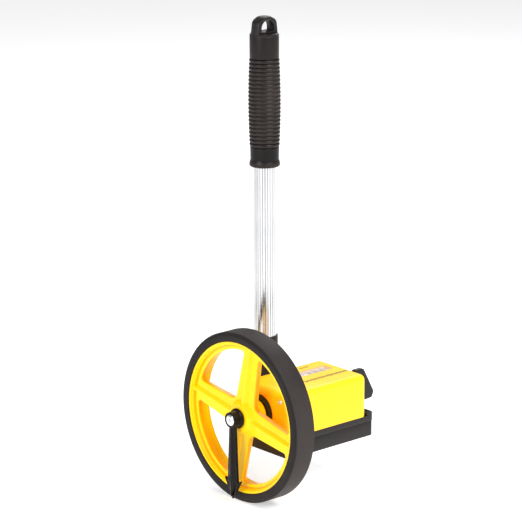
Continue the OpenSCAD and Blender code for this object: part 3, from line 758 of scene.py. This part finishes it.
def cover():
    """Yellow counter cover: one moulded shell with a recessed window and screw holes."""
    shell = domed_box(0, COVER_LOW.z, TOP, CORNER_R, ROLLED_R)
    round_edges(shell, level_edges(shell.edges, COVER_LOW.z), 0.35, 2)
    inside = domed_box(WALL, COVER_LOW.z - 5, TOP - WALL, CORNER_R - WALL, ROLLED_R - WALL)
    opening = plate(plan((WINDOW_X[0], WINDOW_Y[0]), (WINDOW_X[1], WINDOW_Y[1]), 0.8),
                    TOP - 5, TOP + 3, Z)
    pane_low, pane_high = [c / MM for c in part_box("counter_window")]
    rebate = plate(plan((pane_low.x - 0.1, pane_low.y - 0.1), (pane_high.x + 0.1, pane_high.y + 0.1),
                        1.0), pane_low.z, TOP + 3, Z)
    axle_hole_r, lever_hole_r, screw_hole_r = 9.2, 3.8, 1.6
    cuts = [
        inside, opening, rebate,
        drill(axle_hole_r, COVER_LOW.y - 2, COVER_LOW.y + 4, (0, 0, 0)),
        drill(lever_hole_r, COVER_HIGH.y - 4, COVER_HIGH.y + 2, LEVER_AXIS),
    ]
    for x, z, wall in (
        (28, 16, COVER_LOW.y), (-19, -6, COVER_LOW.y), (28, -6, COVER_HIGH.y), (-19, -6, COVER_HIGH.y),
    ):
        cuts.append(drill(screw_hole_r, wall - 4, wall + 4, (x, 0, z)))
    piece("counter_cover", combine(shell, cuts, "DIFFERENCE"), "housing_cover", smooth=25)


def printed_marks():
    """Plain printed measuring ticks: a long row in front of the window, a short one behind it."""
    marks = bmesh.new()
    foot, ink_top = TOP + 0.01, TOP + 0.06
    for x, start, end, steps, long_every, half, long, short in (
        (17.0, WINDOW_Y[0] - 3, WINDOW_Y[1] + 5, 26, 5, 0.55, 2.5, 1.8),
        (-15.6, WINDOW_Y[1] - 22, WINDOW_Y[1] - 14, 5, 4, 0.5, 1.7, 1.2),
    ):
        for i in range(steps):
            y = start + (end - start) * i / (steps - 1)
            reach = short if i % long_every else long
            merged(marks, block((x - reach, y - half, foot), (x + reach, y + half, ink_top)))
    piece("printed_ticks", marks, "housing_cover", INK, replaces=False)


def window_pane():
    """Clear window with eased edges, seated in the cover's rebate."""
    low, high = [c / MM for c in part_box("counter_window")]
    pane = plate(plan((low.x, low.y), (high.x, high.y), 0.9), low.z + 0.02, high.z, Z)
    piece("window_pane", eased(pane, 0.2, 2), "counter_window")


def reset_lever():
    """Black thumb lever: rounded blade on a hub, beside the cover's right end."""
    y0 = ends("reset_lever", Y)[0]
    blade_x, hub_r, depth = (15.5, 21), 6.5, 6
    blade = plate(rounded(
        (y0 + 0.8, 23.4, 1.8), (y0 + 0.8, 6, 1), (y0 + 10.5, -8.2, 2.2), (y0 + 22.8, -7.2, 2.6),
        (y0 + 25.4, -1.5, 3), (y0 + 12.2, 23.4, 3.6), segments=5,
    ), *blade_x, X)
    hub = turned(
        rounded((0, y0, 0), (hub_r, y0, 0.5), (hub_r, y0 + depth, 0.6), (0, y0 + depth, 0)), 48,
        at=LEVER_AXIS,
    )
    web = block((LEVER_AXIS[0], y0 + 0.6, -2), (19, y0 + depth, 14))
    lever = combine(eased(blade, 1.1, 4, 40), [hub, web], "UNION")
    bore = drill(1.6, y0 - 1, y0 + depth - 0.4, LEVER_AXIS)
    piece("thumb_lever", combine(lever, [bore], "DIFFERENCE"), "reset_lever", smooth=30)


# ---- handle ----

TUBE = centre_of("outer_tube")
BAND_R = 13.4


def grip():
    """Ribbed rubber grip: flared foot, a swelling stack of round ribs and a plain band."""
    foot, top = ends("grip_sleeve", Z)
    core = size_of("grip_core").x / 2
    first, count, pitch = foot + 18.4, 22, 3.71
    groove_r, slim_r, swelling, rib_depth = 12.6, 13.8, 1.1, 1.25
    profile = rounded(
        (core, foot + 0.2, 0), (13.6, foot + 0.02, 0.3), (14.2, foot + 0.9, 0.5),
        (14.0, foot + 3.2, 0.8), (13.1, foot + 6.2, 2), (13.3, first - 0.6, 0.3), (groove_r, first, 0),
    )
    for i in range(count):
        low = first + pitch * i
        foot_r = slim_r + swelling * math.sin(math.pi * (i + 0.5) / count) - rib_depth
        profile += [
            Vector((foot_r + rib_depth * math.sin(math.pi * share) ** 0.55, low + pitch * share))
            for share in (0.03, 0.12, 0.24, 0.38, 0.5, 0.62, 0.76, 0.88, 0.97)
        ]
    last = first + pitch * count
    profile += rounded(
        (groove_r, last, 0), (BAND_R, last + 0.5, 0.3), (BAND_R, top, 0.3), (core, top, 0)
    )
    piece("ribbed_grip", turned(profile, 112, Z, (TUBE.x, TUBE.y, 0)), "grip_sleeve", smooth=60)


def hang_cap():
    """End cap of the grip: a collar and a bell with two flats and an arched hole for a cord."""
    low, top = ends("hang_cap", Z)
    collar = top - 17.7
    core = size_of("grip_core").x / 2
    bore = size_of("slide_tube_4").x / 2 - 0.8
    body = turned(rounded(
        (0, low, 0), (bore, low, 0.4), (bore, collar - 8, 0), (core, collar - 8, 0),
        (core, collar, 0), (BAND_R, collar, 0), (BAND_R, collar + 1.2, 0.8),
        (BAND_R - 1.8, collar + 2.6, 0.8), (0, collar + 2.6, 0),
    ), 96, Z, (TUBE.x, TUBE.y, 0))
    bell = turned(rounded(
        (0, collar + 0.5, 0), (12.9, collar + 0.5, 0), (12.6, collar + 4, 6),
        (11.4, top - 3.6, 6), (5.5, top, 5), (0, top, 0), segments=6,
    ), 96, Z, (TUBE.x, TUBE.y, 0))
    half_thick, past, flat_foot = 5.0, 20, collar + 2.2
    flats = [
        block((TUBE.x + half_thick, TUBE.y - past, flat_foot), (TUBE.x + past, TUBE.y + past, top + 5)),
        block((TUBE.x - past, TUBE.y - past, flat_foot), (TUBE.x - half_thick, TUBE.y + past, top + 5)),
    ]
    hole_z, hole_r, side = top - 10.35, 7.45, 7.4
    hole = plate([Vector((TUBE.y + side, hole_z - 3)), *arc((TUBE.y, hole_z), hole_r, 0, 180, 20),
                  Vector((TUBE.y - side, hole_z - 3))], TUBE.x - past, TUBE.x + past, X)
    arch = eased(combine(bell, [*flats, hole], "DIFFERENCE"), 0.5, 2, 50)
    piece("loop_cap", combine(body, [arch], "UNION"), "hang_cap", smooth=35)


def base_halves():
    """Black tray under the cover and the pan below it, with a visible joint between them."""
    ease = 0.6
    joint = ends("base_pan", Z)[1]
    for node, name in (("chassis", "base_tray"), ("base_pan", "bottom_pan")):
        bm = from_cad(node)
        low, high = ends(node, Z)
        for height in {low, high, joint}:
            level = level_edges(sharp_edges(bm, 50), height)
            round_edges(bm, level, ease, 2, clamp=False)
        piece(name, bm, node, smooth=35)


def eased_copies():
    """CAD parts whose shape is kept, with their sharp outside edges softened."""
    for node, name, width in (
        ("tube_socket", "handle_socket", 0.5), ("bearing_flange", "bearing_ring", 0.5),
        ("cover_screws", "cover_screw_set", 0.12), ("base_screws", "base_screw_set", 0.12),
        ("socket_screw", "socket_screw_head", 0.12), ("lever_screw", "lever_screw_head", 0.1),
        ("guide_ring_1", "mouth_ring_1", 0.15), ("guide_ring_2", "mouth_ring_2", 0.15),
        ("guide_ring_3", "mouth_ring_3", 0.15), ("window_mask", "drum_mask", 0.15),
    ):
        piece(name, eased(from_cad(node), width, 2, 50), node, smooth=35)


# ---- counter ----

def digits():
    """Numbers 0 to 9 printed round each drum, read from the window."""
    drum_r = size_of("number_drum_1").x / 2
    size, thick = 3.6, 0.05
    gear_side, half_face = 0.7, 2.6
    for i in range(1, 6):
        node = f"number_drum_{i}"
        middle = centre_of(node)
        mid_y = ends(node, Y)[0] + gear_side + half_face
        printed = bmesh.new()
        for digit in range(10):
            text = bpy.data.curves.new("digit", "FONT")
            text.body, text.size, text.extrude = str(digit), size * MM, thick * MM
            text.align_x, text.align_y, text.resolution_u = "CENTER", "CENTER", 3
            maker = bpy.data.objects.new("digit", text)
            bpy.context.scene.collection.objects.link(maker)
            mesh = bpy.data.meshes.new_from_object(
                maker.evaluated_get(bpy.context.evaluated_depsgraph_get()))
            bpy.data.objects.remove(maker)
            glyph = bmesh.new()
            glyph.from_mesh(mesh)
            bmesh.ops.remove_doubles(glyph, verts=glyph.verts, dist=1e-7)
            for vert in glyph.verts:
                across, up, out = vert.co / MM
                angle = math.radians(36 * digit) + up / drum_r
                radius = drum_r + 0.02 + out
                vert.co = Vector((middle.x - radius * math.sin(angle), mid_y + across,
                                  middle.z + radius * math.cos(angle))) * MM
            merged(printed, glyph)
        ink = PALE_INK if i == 1 else GREY_INK
        piece(f"digits_{i}", printed, node, ink, replaces=False)


for make in (tyre, wheel_rim, pointer, hub_screw, cover, printed_marks, window_pane, reset_lever,
             grip, hang_cap, base_halves, eased_copies, digits):
    make()


# ---- light, floor and camera ----

def camera():
    """Looks at the wheel from its free side, from a little above, with a long lens."""
    azimuth, elevation, roll = math.radians(48.77), math.radians(15.26), math.radians(-0.23)
    distance, aim = 2.5356, Vector((-19.4, 34.1, 136.0)) * MM
    back = Vector((
        math.sin(azimuth) * math.cos(elevation),
        -math.cos(azimuth) * math.cos(elevation),
        math.sin(elevation),
    ))
    data = bpy.data.cameras.new("camera")
    data.sensor_width, data.lens = 36.0, 191.6
    data.clip_start, data.clip_end = 0.05, 20
    obj = bpy.data.objects.new("camera", data)
    bpy.context.scene.collection.objects.link(obj)
    turn = (-back).to_track_quat("-Z", "Y").to_matrix().to_4x4()
    obj.matrix_world = Matrix.Translation(aim + back * distance) @ turn @ Matrix.Rotation(roll, 4, "Z")
    bpy.context.scene.camera = obj


def floor_and_light():
    """Pale floor, even sky and three soft lamps."""
    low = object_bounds()[0].z
    bm = bmesh.new()
    bmesh.ops.create_grid(bm, x_segments=1, y_segments=1, size=6)
    bmesh.ops.translate(bm, verts=bm.verts, vec=(0, 0, low))
    floor = loose_object(bm, "floor")
    pale = Finish("floor_paint", Specular_IOR_Level=0.2)
    tone = pale.noise(6, 3)
    pale.shader.inputs["Emission Color"].default_value = colour(1, 1, 1)
    pale.shader.inputs["Emission Strength"].default_value = 0.5
    floor.data.materials.append(pale.surface(
        base=pale.blend(tone, colour(0.9, 0.9, 0.9), colour(0.93, 0.93, 0.93)),
        rough=tone.spread(0.3, 0.7, 0.7, 0.8),
    ))
    world = bpy.data.worlds.new("studio")
    world.use_nodes = True
    sky = world.node_tree.nodes["Background"]
    sky.inputs["Color"].default_value = colour(1, 1, 1)
    sky.inputs["Strength"].default_value = 0.34
    bpy.context.scene.world = world
    for name, azimuth, height, distance, size, power in (
        ("key_light", 95, 1.5, 1.5, 0.9, 34),
        ("fill_light", 5, 0.8, 1.7, 0.7, 13),
        ("back_light", 215, 1.3, 1.6, 0.9, 12),
    ):
        data = bpy.data.lights.new(name, "AREA")
        data.size, data.energy = size, power
        lamp = bpy.data.objects.new(name, data)
        turn = math.radians(azimuth)
        lamp.location = (math.sin(turn) * distance, -math.cos(turn) * distance, height)
        aim = Vector((0, 0.04, 0.1)) - lamp.location
        lamp.rotation_euler = aim.to_track_quat("-Z", "Y").to_euler()
        bpy.context.scene.collection.objects.link(lamp)
    bpy.context.scene.view_settings.view_transform = "Standard"


for cad_node, obj in CAD.items():
    obj.data.materials.clear()
    obj.data.materials.append(FINISHES[SLOT_OF[cad_node]])

camera()
floor_and_light()
